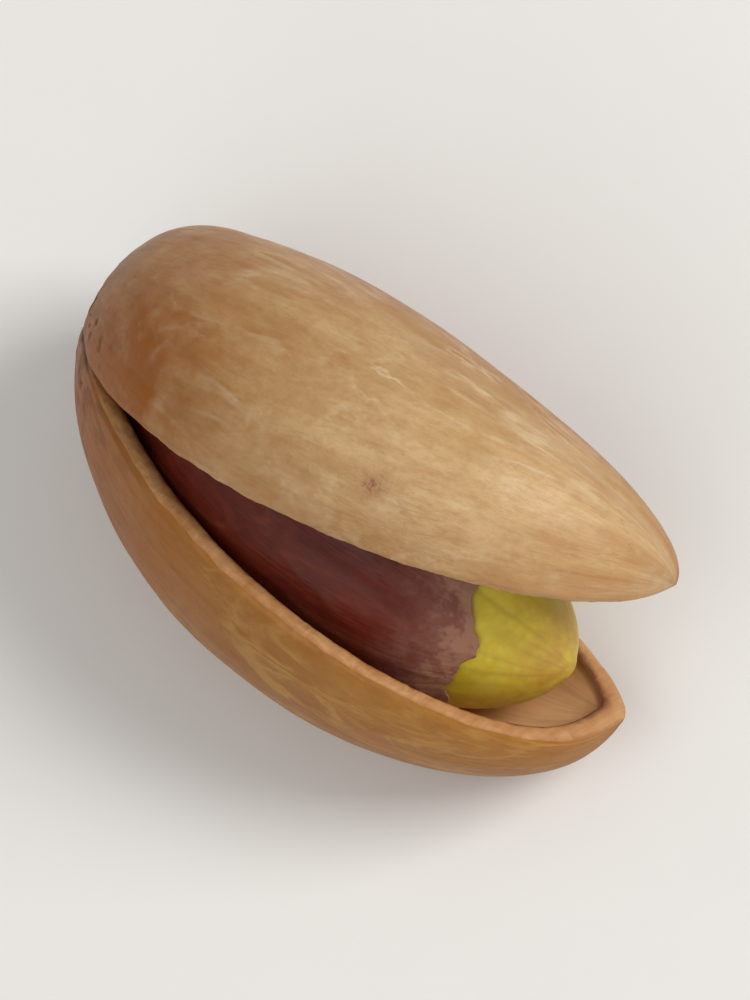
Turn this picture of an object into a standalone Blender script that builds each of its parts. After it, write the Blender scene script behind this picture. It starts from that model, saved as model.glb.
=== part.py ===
"""A roasted pistachio, split open along its seam with the seed still inside.

Three pieces, in metres, Z up:
  shell      the hard pale shell, two valves still grown together at the stem end
  kernel     the yellow-green seed
  seed_coat  the thin maroon skin round the seed, torn open near the seed's tip

The nut is drawn in a frame of its own first: x runs from the stem end to the tip,
y lies in the plane of the seam (the wide side of the split is at -y), z crosses the
two valves.  It is then laid down the way it rests, with its long side along world X,
the tip at +X and the wide side of the split facing -Y and up.
"""
import math

import bmesh
import bpy
import numpy as np

MM = 0.001

# ---- the shell --------------------------------------------------------------
LENGTH = 21.0 * MM          # stem end to tip
BREADTH = 10.15 * MM        # across the shell, in the plane of the seam
DEPTH = 10.7 * MM           # across both valves while they were still shut
BLUNT = 0.35                # how blunt the stem end is (0.5 is an ellipse)
POINT = 0.61                # how drawn out the tip is
POINT_NEAR = 0.30           # and the same on the wide side of the split, where it is fuller
BEND = 1.85 * MM            # the seam's wide side bows out by this much
HOOK = 0.35 * MM            # the tip leans away from the wide side by this much more
WALL = 0.9 * MM             # wall over the belly
RIM_WALL = 0.72 * MM        # wall along the seam
STEM_WALL = 1.3 * MM        # wall at the stem end
TIP_WALL = 0.75 * MM        # wall at the tip
RIPPLE = 0.010              # slow swells of the surface, as a share of the radius
SCAR_RADIUS = 1.5 * MM      # where the stalk broke off
SCAR_DEPTH = 0.28 * MM

# ---- the split ----------------------------------------------------------------
SPLIT_NEAR = (0.6 * MM, -3.4 * MM)    # where the split ends on its wide side
SPLIT_FAR = (4.5 * MM, 6.0 * MM)      # where it ends on the other side
GAPE = 0.325                          # how fast the valves part, metres per metre
HINGE_SOFT = 0.7 * MM                 # length over which the shell bends open

# ---- the seed and its skin -------------------------------------------------------
SEED_START = 1.75 * MM      # from the stem end of the shell
SEED_END = 19.4 * MM
SEED_BLUNT = 0.44
SEED_POINT = 0.52
SKIN_ROOM = 0.22 * MM       # between the skin and the shell wall
SKIN = 0.24 * MM            # thickness of the skin
SEED_ROOM = 0.10 * MM       # between the seed and its skin
SEED_SAG = 0.34             # how much of the gape the seed sinks by, into the lower valve
SEED_SWELL = 0.12           # and how much deeper than that its underside reaches
FURROW = 0.018              # lengthwise wrinkles, as a share of the radius
TEAR = 0.835                # where the skin is torn off, as a share of the seed

# ---- how the nut lies ----------------------------------------------------------------
ROLL = math.radians(45.0)       # wide side of the split turned up from the floor
PITCH = math.radians(-1.6)      # tip raised a little
FLAT_DEPTH = 0.30 * MM          # how deep the resting flat is worn into the shell

ROWS = 36                   # places along the shell
SPOKES = 17                 # places round one valve
SEED_ROWS = 26
SEED_SPOKES = 26


def clear_scene():
    for obj in list(bpy.data.objects):
        bpy.data.objects.remove(obj, do_unlink=True)


def outline(t, blunt, point):
    """Radius along a pod: a power of the way in times a power of the way left, 1 at its best."""
    best = blunt / (blunt + point)
    return (t / best) ** blunt * ((1.0 - t) / (1.0 - best)) ** point


def places(count):
    """Even steps of an angle, so the places crowd together toward both ends, 0 to 1."""
    t = (1.0 - np.cos(np.linspace(0.0, math.pi, count))) / 2.0
    t[0] = 0.0
    t[-1] = 1.0
    return t


def gape(x, y):
    """How far the valves stand apart: grows with the distance from the line the shell bends on."""
    ax, ay = SPLIT_NEAR
    bx, by = SPLIT_FAR
    run = math.hypot(bx - ax, by - ay)
    side = ((x - ax) * (by - ay) - (y - ay) * (bx - ax)) / run
    side = np.maximum(side, 0.0)
    return GAPE * side * side / (side + HINGE_SOFT)


def bowed(x):
    """How far the nut's middle line stands to the side: bowed all along, and hooked toward the tip."""
    u = 2.0 * x / LENGTH - 1.0
    return BEND * u * u + HOOK * np.maximum(u, 0.0) ** 3


def swell(t, angle):
    """Slow unevenness of the shell, a few waves along it and round it."""
    first = np.sin(2.1 * math.pi * t + 2.0 * angle + 0.6)
    second = np.sin(4.3 * math.pi * t - 3.0 * angle + 1.9)
    third = np.sin(1.3 * math.pi * t + 5.0 * angle + 4.2)
    return RIPPLE * (0.5 * first + 0.3 * second + 0.2 * third) * np.sin(math.pi * t) ** 0.5


def valve(side, inner):
    """One valve, side +1 (upper) or -1 (lower): half ellipses strung along the outline."""
    t = places(ROWS)[:, None]
    phi = np.linspace(0.0, math.pi, SPOKES)[None, :]
    seam = np.exp(-(np.sin(phi) / 0.35) ** 2)
    wall = WALL + (RIM_WALL - WALL) * seam if inner else 0.0
    start = STEM_WALL if inner else 0.0
    end = TIP_WALL if inner else 0.0
    radius = outline(t, BLUNT, POINT + (POINT_NEAR - POINT) * np.maximum(np.cos(phi), 0.0))
    if not inner:
        radius = radius * (1.0 + swell(t, side * phi))
    across = -(BREADTH / 2.0 - wall) * radius * np.cos(phi)
    up = (DEPTH / 2.0 - wall) * radius * np.sin(phi)
    x = start + (LENGTH - start - end) * t + 0.0 * phi
    if not inner:
        reach = np.hypot(across, up) / SCAR_RADIUS
        fade = np.exp(-(t / 0.12) ** 2)
        dish = np.exp(-reach ** 2) - 0.45 * np.exp(-((reach - 1.25) / 0.35) ** 2)
        x = x + SCAR_DEPTH * dish * fade
    y = across + bowed(x)
    z = side * (up + 0.5 * gape(x, y))
    return np.stack([x, y, z], axis=-1)


def seed_point(t, phi, room):
    """A point of the seed's surface, or of a skin at a given room outside or inside it."""
    base = WALL + SKIN_ROOM + room
    radius = outline(t, SEED_BLUNT, SEED_POINT)
    wrinkle = 0.6 * np.sin(9.0 * phi + 2.0 * np.sin(3.0 * t)) + 0.4 * np.sin(14.0 * phi + 1.0)
    fold = np.exp(-((np.cos(phi) - 1.0) / 0.05) ** 2)
    radius = radius * (1.0 + (FURROW * (wrinkle - 1.0) - 0.02 * fold) * np.sin(math.pi * t))
    half_breadth = (BREADTH / 2.0 - base) * radius
    half_depth = (DEPTH / 2.0 - base) * radius
    x = SEED_START + room + (SEED_END - SEED_START - 2.0 * room) * t + 0.0 * phi
    y = -half_breadth * np.cos(phi) + bowed(x)
    up = half_depth * np.sin(phi)
    share = up / (DEPTH / 2.0 - base)
    z = up - (SEED_SAG - SEED_SWELL * share) * gape(x, y)
    return np.stack([x, y, z], axis=-1)


def lay_down(points):
    """From the nut's own frame to the way it lies."""
    up = np.array([-math.sin(PITCH), -math.sin(ROLL) * math.cos(PITCH), math.cos(ROLL) * math.cos(PITCH)])
    along = np.array([1.0, 0.0, 0.0]) - up[0] * up
    along = along / np.linalg.norm(along)
    back = np.cross(up, along)
    return points @ np.stack([along, back, up], axis=1)


def cells(ids):
    """Faces of a grid of vertex numbers; a cell with two equal corners becomes a triangle."""
    faces = []
    for i in range(ids.shape[0] - 1):
        for j in range(ids.shape[1] - 1):
            loop = [ids[i, j], ids[i + 1, j], ids[i + 1, j + 1], ids[i, j + 1]]
            kept = []
            for number in loop:
                if int(number) not in kept:
                    kept.append(int(number))
            if len(kept) > 2:
                faces.append(kept)
    return faces


def make_object(name, points, faces, material):
    mesh = bpy.data.meshes.new(name)
    mesh.from_pydata(points.tolist(), [], faces)
    bm = bmesh.new()
    bm.from_mesh(mesh)
    loose = [v for v in bm.verts if not v.link_faces]
    bmesh.ops.delete(bm, geom=loose, context="VERTS")
    bmesh.ops.recalc_face_normals(bm, faces=bm.faces)
    bm.to_mesh(mesh)
    bm.free()
    mesh.materials.append(material)
    mesh.shade_smooth()
    mesh.set_sharp_from_angle(angle=math.radians(40.0))
    obj = bpy.data.objects.new(name, mesh)
    bpy.context.scene.collection.objects.link(obj)
    return obj


def make_material(name, colour, roughness):
    material = bpy.data.materials.new(name)
    material.use_nodes = True
    shader = material.node_tree.nodes["Principled BSDF"]
    shader.inputs["Base Color"].default_value = (*colour, 1.0)
    shader.inputs["Roughness"].default_value = roughness
    shader.inputs["Metallic"].default_value = 0.0
    return material


def shell_mesh():
    """Both valves, inside and out, joined behind the split and walled along its rims."""
    skins = {}
    for side in (1, -1):
        for inner in (False, True):
            skins[side, inner] = valve(side, inner)
    points = []
    ids = {}
    for key, grid in skins.items():
        ids[key] = np.arange(grid.shape[0] * grid.shape[1]).reshape(grid.shape[:2]) + len(points)
        points.extend(grid.reshape(-1, 3).tolist())
    points = np.array(points)
    for key in ids:
        ids[key][0, :] = ids[key][0, 0]
        ids[key][-1, :] = ids[key][-1, 0]
    last_joined = {}
    for column in (0, SPOKES - 1):
        apart = []
        for inner in (False, True):
            rise = skins[1, inner][:, column, 2]
            apart.append(np.argmax(rise > 0.004 * MM))
        joined = max(apart)
        last_joined[column] = joined - 1
        for inner in (False, True):
            points[ids[1, inner][:joined, column], 2] = 0.0
            ids[-1, inner][:joined, column] = ids[1, inner][:joined, column]
    for inner in (False, True):
        ids[-1, inner][0, :] = ids[1, inner][0, 0]
    faces = []
    for key in ids:
        faces.extend(cells(ids[key]))
    for side in (1, -1):
        for column, joined in last_joined.items():
            outer_rim = ids[side, False][joined:, column]
            inner_rim = ids[side, True][joined:, column]
            faces.extend(cells(np.stack([outer_rim, inner_rim], axis=1)))
    return points, faces, ids


def seed_mesh():
    t = places(SEED_ROWS)[:, None]
    phi = np.linspace(0.0, 2.0 * math.pi, SEED_SPOKES + 1)[None, :]
    grid = seed_point(t, phi, SKIN + SEED_ROOM)
    ids = np.arange(SEED_ROWS * (SEED_SPOKES + 1)).reshape(SEED_ROWS, SEED_SPOKES + 1)
    ids[:, -1] = ids[:, 0]
    ids[0, :] = ids[0, 0]
    ids[-1, :] = ids[-1, 0]
    return grid.reshape(-1, 3), cells(ids)


def coat_mesh():
    """Two skins from the stem end to the tear, joined all round the torn edge."""
    phi = np.linspace(0.0, 2.0 * math.pi, SEED_SPOKES + 1)[None, :]
    share = (1.0 - np.cos(np.linspace(0.0, 0.62 * math.pi, SEED_ROWS))) / (1.0 - math.cos(0.62 * math.pi))
    ragged = 0.030 * np.sin(phi + 0.9) + 0.018 * np.sin(3.0 * phi + 2.2) + 0.012 * np.sin(7.0 * phi)
    t = share[:, None] * (TEAR + ragged)
    outer = seed_point(t, phi, 0.0)
    inner = seed_point(t, phi, SKIN)
    count = SEED_ROWS * (SEED_SPOKES + 1)
    faces = []
    rims = []
    for start in (0, count):
        ids = np.arange(count).reshape(SEED_ROWS, SEED_SPOKES + 1) + start
        ids[:, -1] = ids[:, 0]
        ids[0, :] = ids[0, 0]
        faces.extend(cells(ids))
        rims.append(ids[-1])
    faces.extend(cells(np.stack(rims, axis=1)))
    points = np.concatenate([outer.reshape(-1, 3), inner.reshape(-1, 3)])
    return points, faces


clear_scene()

shell_points, shell_faces, shell_ids = shell_mesh()
kernel_points, kernel_faces = seed_mesh()
coat_points, coat_faces = coat_mesh()

shell_points = lay_down(shell_points)
kernel_points = lay_down(kernel_points)
coat_points = lay_down(coat_points)

# The small flat the nut rests on: the lowest part of the outer skin is worn level.
floor_height = shell_points[:, 2].min() + FLAT_DEPTH
outside = np.unique(np.concatenate([shell_ids[1, False].ravel(), shell_ids[-1, False].ravel()]))
shell_points[outside, 2] = np.maximum(shell_points[outside, 2], floor_height)

low = shell_points.min(axis=0)
high = shell_points.max(axis=0)
shift = np.array([(low[0] + high[0]) / 2.0, (low[1] + high[1]) / 2.0, floor_height])

shell_material = make_material("shell_wood", (0.60, 0.42, 0.24), 0.45)
kernel_material = make_material("seed_flesh", (0.42, 0.40, 0.08), 0.50)
coat_material = make_material("seed_skin", (0.085, 0.022, 0.018), 0.45)

make_object("shell", shell_points - shift, shell_faces, shell_material)
make_object("kernel", kernel_points - shift, kernel_faces, kernel_material)
make_object("seed_coat", coat_points - shift, coat_faces, coat_material)
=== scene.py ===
# %% [markdown]
# # A pistachio in its shell
#
# A pistachio is three things, one inside the other: a pale woody shell, a thin papery skin, and the
# yellow-green seed. When the seed fills out it forces the shell open along its seam, from the tip
# back toward the stem, and the two valves stay joined where the stalk was. This notebook builds
# those three pieces as surfaces worked out with numpy, and gives each a material made of nodes.
#
# The first cell loads the fixed frame. Everything else is placed from it.

# %% Load the frame
import math

import bpy
import numpy as np
from mathutils import Matrix, Vector


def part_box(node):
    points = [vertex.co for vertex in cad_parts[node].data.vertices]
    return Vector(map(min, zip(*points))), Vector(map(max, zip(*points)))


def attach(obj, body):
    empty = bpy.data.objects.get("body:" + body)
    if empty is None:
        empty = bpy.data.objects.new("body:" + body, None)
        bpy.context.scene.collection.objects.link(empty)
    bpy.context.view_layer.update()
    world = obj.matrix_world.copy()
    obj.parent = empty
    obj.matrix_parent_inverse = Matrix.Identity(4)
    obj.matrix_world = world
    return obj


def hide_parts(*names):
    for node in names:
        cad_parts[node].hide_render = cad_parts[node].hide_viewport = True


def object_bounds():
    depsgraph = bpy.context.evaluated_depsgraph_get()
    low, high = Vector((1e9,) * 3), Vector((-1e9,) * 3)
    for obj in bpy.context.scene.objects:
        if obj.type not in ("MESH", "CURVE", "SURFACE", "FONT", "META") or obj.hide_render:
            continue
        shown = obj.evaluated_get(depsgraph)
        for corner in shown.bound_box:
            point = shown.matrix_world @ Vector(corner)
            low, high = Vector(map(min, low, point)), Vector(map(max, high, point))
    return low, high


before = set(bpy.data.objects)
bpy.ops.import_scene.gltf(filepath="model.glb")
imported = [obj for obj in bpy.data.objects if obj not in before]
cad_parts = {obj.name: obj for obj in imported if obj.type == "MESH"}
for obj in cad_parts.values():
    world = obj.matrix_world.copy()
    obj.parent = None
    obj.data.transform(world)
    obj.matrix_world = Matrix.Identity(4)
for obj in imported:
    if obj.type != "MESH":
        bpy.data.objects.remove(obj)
cad_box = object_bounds()
MM = 0.001
print("frame box, mm:", [round(c / MM, 2) for corner in cad_box for c in corner])

# %% [markdown]
# ## The nut's own measures
#
# It is easier to draw the nut in a frame of its own than the way it lies. In that frame x runs from
# the stem end to the tip, y lies in the plane of the seam, and z crosses the two valves. The sizes
# below are those of a middling nut. BLUNT and POINT are powers: the outline's radius rises as the
# way in to the power BLUNT and falls as the way left to the power POINT, and a half would make it
# an ellipse. A lower power is blunter, so the stem end is round and the tip is drawn out. BEND and
# HOOK bow the nut's middle line, and each of the two SPLIT places is where the open seam ends.

# %% Sizes
LENGTH = 21.0 * MM
BREADTH = 10.15 * MM
DEPTH = 10.7 * MM
BLUNT, POINT, POINT_NEAR = 0.35, 0.61, 0.30
BEND, HOOK = 1.85 * MM, 0.35 * MM
WALL, RIM_WALL, STEM_WALL, TIP_WALL = 0.9 * MM, 0.72 * MM, 1.3 * MM, 0.75 * MM
SPLIT_NEAR = (0.6 * MM, -3.4 * MM)
SPLIT_FAR = (4.5 * MM, 6.0 * MM)
GAPE, HINGE_SOFT = 0.325, 0.7 * MM
ROLL, PITCH = math.radians(45.0), math.radians(-1.6)
FLAT_DEPTH = 0.30 * MM

# %% [markdown]
# ## Helpers for shape
#
# Three kinds of helper do nearly all the work. `outline` is the profile of a pod. `crowd` spaces
# the places along a line so that they are dense where the shape turns quickly. `field` is a smooth
# random field: a sum of sine waves with random directions, which has no seam anywhere because it
# is read at points in space and not at places on a map.

# %% Profiles, spacing and a smooth random field
def outline(t, blunt, point):
    """Radius along a pod: way in ** blunt times way left ** point, scaled so that its best is 1."""
    best = blunt / (blunt + point)
    return (t / best) ** blunt * ((1.0 - t) / (1.0 - best)) ** point


def ends_dense(count):
    """Half of 1 minus the cosine of even steps of an angle: 0 to 1, dense toward both ends."""
    t = (1.0 - np.cos(np.linspace(0.0, math.pi, count))) / 2.0
    t[0], t[-1] = 0.0, 1.0
    return t


def crowd(count, pull):
    """Even steps s less pull times sin(2 pi s) / (2 pi): the more pull, the denser at both ends."""
    s = np.linspace(0.0, 1.0, count)
    return s - pull * np.sin(2.0 * math.pi * s) / (2.0 * math.pi)


def ramp(x, low, high):
    """Smooth step: 3 s squared less 2 s cubed, with s the share of the way from low to high."""
    s = np.clip((x - low) / (high - low), 0.0, 1.0)
    return s * s * (3.0 - 2.0 * s)


def bump(x, width):
    """Bell curve: e to the power of minus (x / width) squared."""
    return np.exp(-(x / width) ** 2)


def field(points, size, seed, stretch=1.0, waves=36):
    """Sum of sine waves of random direction and phase, of wavelength about size.

    stretch lengthens the waves along x, and seed picks one field of many. The result is roughly
    between -1 and 1, with a spread of about a third.
    """
    rng = np.random.default_rng(seed)
    way = rng.normal(size=(waves, 3))
    way = way / np.linalg.norm(way, axis=1)[:, None]
    way = way * (2.0 * math.pi / size) * rng.uniform(0.6, 1.5, waves)[:, None]
    way[:, 0] = way[:, 0] / stretch
    phase = rng.uniform(0.0, 2.0 * math.pi, waves)
    total = np.zeros(points.shape[:-1])
    for k in range(waves):
        total += np.sin(points @ way[k] + phase[k])
    return total * 0.47 / math.sqrt(waves)


# %% [markdown]
# ## How far the valves stand apart
#
# Each valve is stiff, so the shell opens like a book that is held shut at one corner. The fold is
# the line between the two places where the split ends, one on each side of the stem. The gape at
# any point grows with its distance from that line. The split ends further back on one side than on
# the other, which is why the fold is slanted and the near side gapes wider.

# %% The gape and the slow swells of the surface
def gape(x, y):
    """Distance d past the fold line, then GAPE times d squared over (d + HINGE_SOFT)."""
    (ax, ay), (bx, by) = SPLIT_NEAR, SPLIT_FAR
    run = math.hypot(bx - ax, by - ay)
    past = np.maximum(((x - ax) * (by - ay) - (y - ay) * (bx - ax)) / run, 0.0)
    return GAPE * past * past / (past + HINGE_SOFT)


def bowed(x):
    """The middle line's way aside: BEND times u squared, and HOOK times u cubed past the middle."""
    u = 2.0 * x / LENGTH - 1.0
    return BEND * u * u + HOOK * np.maximum(u, 0.0) ** 3


def swell(t, angle):
    """Three slow waves along and round the shell, as a share of its radius."""
    first = np.sin(2.1 * math.pi * t + 2.0 * angle + 0.6)
    second = np.sin(4.3 * math.pi * t - 3.0 * angle + 1.9)
    third = np.sin(1.3 * math.pi * t + 5.0 * angle + 4.2)
    return 0.010 * (0.5 * first + 0.3 * second + 0.2 * third) * np.sin(math.pi * t) ** 0.5


def lay_down(points):
    """Turns points from the nut's own frame to the way it lies, rolled and tipped by ROLL and PITCH."""
    level = math.cos(PITCH)
    up = np.array([-math.sin(PITCH), -math.sin(ROLL) * level, math.cos(ROLL) * level])
    along = np.array([1.0, 0.0, 0.0]) - up[0] * up
    along = along / np.linalg.norm(along)
    return points @ np.stack([along, np.cross(up, along), up], axis=1)


# %% [markdown]
# ## From grids to a mesh
#
# A surface here is a grid of points. `weave` joins neighbours into four-sided faces; where a whole
# row is one point, as at the tip, the faces become triangles. Grids that share an edge share its
# vertex numbers, so the finished piece is one closed skin with no seam to leak.

# %% Grids, faces and objects
def weave(ids, flip=False):
    """Faces of a grid of vertex numbers, as rows of 4; a triangle has one corner twice."""
    a, b, c, d = ids[:-1, :-1], ids[1:, :-1], ids[1:, 1:], ids[:-1, 1:]
    order = (d, c, b, a) if flip else (a, b, c, d)
    return np.stack([corner.ravel() for corner in order], axis=1)


def make_piece(name, points, faces, marks, materials, which=None):
    """A mesh object. marks are named values at the points; which is a material number for each face."""
    keep = np.array([len(set(face)) > 2 for face in faces.tolist()])
    faces = faces[keep]
    used, renumbered = np.unique(faces, return_inverse=True)
    faces = renumbered.reshape(faces.shape)
    loops = [list(dict.fromkeys(face)) for face in faces.tolist()]
    mesh = bpy.data.meshes.new(name)
    mesh.from_pydata(points[used].tolist(), [], loops)
    for label, values in marks.items():
        kind, slot = ("FLOAT_VECTOR", "vector") if values.ndim == 2 else ("FLOAT", "value")
        mesh.attributes.new(label, kind, "POINT").data.foreach_set(slot, values[used].ravel())
    for material in materials:
        mesh.materials.append(material)
    if which is not None:
        mesh.polygons.foreach_set("material_index", which[keep].astype(np.int32))
    mesh.shade_smooth()
    mesh.update()
    obj = bpy.data.objects.new(name, mesh)
    bpy.context.scene.collection.objects.link(obj)
    corner, size = points[used].min(axis=0) / MM, np.ptp(points[used], axis=0) / MM
    print(name, len(used), "points,", len(loops), "faces, mm:", corner.round(2), size.round(2))
    return obj


# %% [markdown]
# ## Helpers for materials
#
# `add` makes one shader node and plugs it in, which keeps each material below to a readable list.
# Colours are written the way a paint chart gives them, 0 to 255, and turned to the linear values
# that Blender works in.

# %% Nodes and colours
def add(tree, kind, feeds=None, **settings):
    """One node. settings are its own choices; feeds gives its inputs values or other nodes' outputs."""
    node = tree.nodes.new(kind if kind.startswith("Node") else "ShaderNode" + kind)
    for label, value in settings.items():
        setattr(node, label, value)
    for key, value in (feeds or {}).items():
        if isinstance(value, bpy.types.NodeSocket):
            tree.links.new(value, node.inputs[key])
        else:
            node.inputs[key].default_value = value
    return node


def chart(red, green, blue):
    """A 0 to 255 colour as linear red, green, blue and 1."""
    share = np.array([red, green, blue]) / 255.0
    linear = np.where(share <= 0.04045, share / 12.92, ((share + 0.055) / 1.055) ** 2.4)
    return (*linear.tolist(), 1.0)


def blend(tree, share, first, second, mode="MIX"):
    """The colour that is first where share is 0 and second where it is 1."""
    feeds = {"Factor": share, 6: first, 7: second}
    return add(tree, "Mix", feeds, data_type="RGBA", blend_type=mode).outputs[2]


def sums(tree, operation, *values, clamp=False):
    """One sum done on numbers or sockets."""
    return add(tree, "Math", dict(enumerate(values)), operation=operation, use_clamp=clamp).outputs[0]


def times(tree, first, second, clamp=False):
    """The product of two numbers or sockets."""
    return sums(tree, "MULTIPLY", first, second, clamp=clamp)


def fitted(tree, value, gain, lift, clamp=False):
    """The value times gain, plus lift."""
    return sums(tree, "MULTIPLY_ADD", value, gain, lift, clamp=clamp)


def between(tree, value, low, high, to_low=0.0, to_high=1.0):
    """Value read from low..high and given out as to_low..to_high, smoothly, held at both ends."""
    feeds = {"Value": value, "From Min": low, "From Max": high, "To Min": to_low, "To Max": to_high}
    return add(tree, "MapRange", feeds, interpolation_type="SMOOTHSTEP").outputs[0]


def noise(tree, where, scale, detail, roughness=0.5, distortion=0.0):
    """Smooth noise: scale is in lumps a metre, and detail is how many finer layers lie on top."""
    feeds = {"Vector": where, "Scale": scale, "Detail": detail}
    feeds.update({"Roughness": roughness, "Distortion": distortion})
    return add(tree, "TexNoise", feeds).outputs["Fac"]


# %% What a material reads from its piece, and what it hands to its shader
def mark(tree, label):
    """The value that a mesh carries at its points under that name."""
    return add(tree, "Attribute", attribute_name=label).outputs["Fac"]


def places(tree):
    """The point on the object, and its place on the straight rod where the fibres are parallel."""
    where = add(tree, "TexCoord").outputs["Object"]
    return where, add(tree, "Attribute", attribute_name="rod").outputs["Vector"]


def drawn_out(tree, rod, along=1.0, across=1.0):
    """The place on the rod, shrunk along or across it: a pattern read there is longer that way."""
    scale = (along, across, across)
    return add(tree, "Mapping", {"Vector": rod, "Scale": scale}).outputs["Vector"]


def dress(tree, shader, colour, roughness, height=None, strength=0.0, depth=0.0):
    """Colour, roughness and, where a height is given, its bumps go to the shader."""
    tree.links.new(colour, shader.inputs["Base Color"])
    tree.links.new(roughness, shader.inputs["Roughness"])
    if height is not None:
        bumps = add(tree, "Bump", {"Height": height, "Strength": strength, "Distance": depth})
        tree.links.new(bumps.outputs["Normal"], shader.inputs["Normal"])


# %% [markdown]
# ## Two effects that every surface uses
#
# Nothing that grew is one colour. `mottle` lays soft patches of two sizes over each other, and
# `streaks` draws fine broken lines the way the fibres run. Both are node groups: they are built
# once, and each material gives them its own scale. They put out a mask from 0 to 1.

# %% The mottle and streaks groups
def new_group(name, inputs, outputs):
    """An empty node group with number and vector inputs and number outputs."""
    group = bpy.data.node_groups.new(name, "ShaderNodeTree")
    for label, kind, value in inputs:
        socket = group.interface.new_socket(name=label, in_out="INPUT", socket_type=kind)
        if value is not None:
            socket.default_value = value
    for label in outputs:
        group.interface.new_socket(name=label, in_out="OUTPUT", socket_type="NodeSocketFloat")
    return group, add(group, "NodeGroupInput"), add(group, "NodeGroupOutput")


def mottle_group():
    """Coarse noise with finer noise on top, stretched about a half to fill 0..1, more with Contrast."""
    inputs = [("Vector", "NodeSocketVector", None), ("Scale", "NodeSocketFloat", 500.0)]
    inputs.append(("Contrast", "NodeSocketFloat", 0.5))
    group, given, out = new_group("mottle", inputs, ["Mask"])
    where, scale = given.outputs["Vector"], given.outputs["Scale"]
    large = noise(group, where, scale, 4.0, roughness=0.6, distortion=0.8)
    fine = noise(group, where, times(group, scale, 5.3), 3.0)
    both = fitted(group, fine, 0.35, times(group, large, 0.65))
    reach = fitted(group, given.outputs["Contrast"], -0.15, 0.25)
    low, high = sums(group, "SUBTRACT", 0.5, reach), sums(group, "ADD", 0.5, reach)
    group.links.new(between(group, both, low, high), out.inputs["Mask"])
    return group


def streaks_group():
    """Broad and thin noise added up and stretched to 0..1; read on a squeezed rod, it makes streaks."""
    inputs = [("Vector", "NodeSocketVector", None), ("Scale", "NodeSocketFloat", 3000.0)]
    group, given, out = new_group("streaks", inputs, ["Mask"])
    where, scale = given.outputs["Vector"], given.outputs["Scale"]
    broad = noise(group, where, times(group, scale, 0.35), 2.0, distortion=0.6)
    thin = noise(group, where, scale, 5.0, roughness=0.65, distortion=0.3)
    both = fitted(group, thin, 0.6, times(group, broad, 0.4))
    group.links.new(between(group, both, 0.40, 0.62), out.inputs["Mask"])
    return group


MOTTLE, STREAKS = mottle_group(), streaks_group()


def mottled(tree, where, scale, contrast=0.5):
    """The mottle mask at a material's own scale."""
    feeds = {"Vector": where, "Scale": scale, "Contrast": contrast}
    return add(tree, "Group", feeds, node_tree=MOTTLE).outputs["Mask"]


def streaked(tree, where, scale):
    """The streaks mask at a material's own scale."""
    return add(tree, "Group", {"Vector": where, "Scale": scale}, node_tree=STREAKS).outputs["Mask"]


def new_material(name, subsurface=0.0, radius=(1.0, 0.65, 0.35), scale=0.35 * MM, **constants):
    """A material with one Principled shader, its light scattered a little under the surface."""
    material = bpy.data.materials.new(name)
    material.use_nodes = True
    tree = material.node_tree
    shader = tree.nodes["Principled BSDF"]
    shader.inputs["Subsurface Weight"].default_value = subsurface
    shader.inputs["Subsurface Radius"].default_value = radius
    shader.inputs["Subsurface Scale"].default_value = scale
    for label, value in constants.items():
        shader.inputs[label.replace("_", " ")].default_value = value
    return material, tree, shader


print("groups:", [g.name for g in (MOTTLE, STREAKS)])

# %% [markdown]
# ## The shell, as points
#
# Both valves are half ellipses strung along the outline, then parted by the gape. The outside gets
# the small things that catch the light: slow swells, faint ribs running from stem to tip, fine sunk
# veins, a rounded edge where the split has parted it, a dark groove where the seam is still shut
# with a few small pits beside it, and a rough dished scar at the stem. The inside is the same
# surface moved in by the wall's thickness.
#
# Beside its place, each point carries a few marks for the materials: how near it is to the stem, to
# the seam or to the split edge, and its place on a straight rod, where the fibres run parallel.

# %% Sizes and shared formulas of the shell
ROWS, OUTSIDE_SPOKES, INSIDE_SPOKES, RIM_STEPS = 284, 120, 44, 8
SCAR_RADIUS, SCAR_DEPTH, CRUST, GRIT = 1.5 * MM, 0.28 * MM, 0.050 * MM, 0.025 * MM
HUSK_LENGTH, HUSK_WIDTH = 5.2 * MM, 3.4 * MM
EDGE_ROUND, EDGE_WIDTH = 0.07 * MM, 0.12 * MM
GROOVE_DEPTH, GROOVE_WIDTH, GROOVE_STRAY = 0.12 * MM, 0.11 * MM, 0.10 * MM
PIT_SPACING, PITS_FROM_SEAM, PITS_FROM_STEM = 0.55 * MM, 0.9 * MM, 3.8 * MM
RIB, RIB_SPACING, DENT, DENT_SPACING = 0.020 * MM, 0.7 * MM, 0.034 * MM, 2.6 * MM
VEIN_DEPTH, VEIN_SPACING, VEINS_FROM_STEM = 0.030 * MM, 1.3 * MM, 7.0 * MM
SEAM_SPREAD = 1.4 * MM
TIP_CALM = 0.5 * MM
STAIN_AT, STAIN_SIZE = (0.634, 0.133 * math.pi), 0.42 * MM


def plain_valve(t, phi, side, wall, start, end, radius):
    """x = start + what is left times t; y and z trace half an ellipse; then the bend and the gape."""
    across = -(BREADTH / 2.0 - wall) * radius * np.cos(phi)
    up = (DEPTH / 2.0 - wall) * radius * np.sin(phi)
    x = start + (LENGTH - start - end) * t + 0.0 * phi
    y = across + bowed(x)
    return np.stack([x, y, side * (up + 0.5 * gape(x, y))], axis=-1)


def pod_radius(t, phi):
    """The outline, its tip power easing from POINT to POINT_NEAR toward the wide side of the split."""
    return outline(t, BLUNT, POINT + (POINT_NEAR - POINT) * np.maximum(np.cos(phi), 0.0))


def seam_reach(phi, radius):
    """Way along the surface to the nearer seam: radius times the smaller of phi and pi less phi."""
    return np.minimum(phi, math.pi - phi) * radius * DEPTH / 2.0


def along_only(points):
    """The points with y and z dropped, so that a field read there changes only along x."""
    return points * np.array([1.0, 0.0, 0.0])


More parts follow.
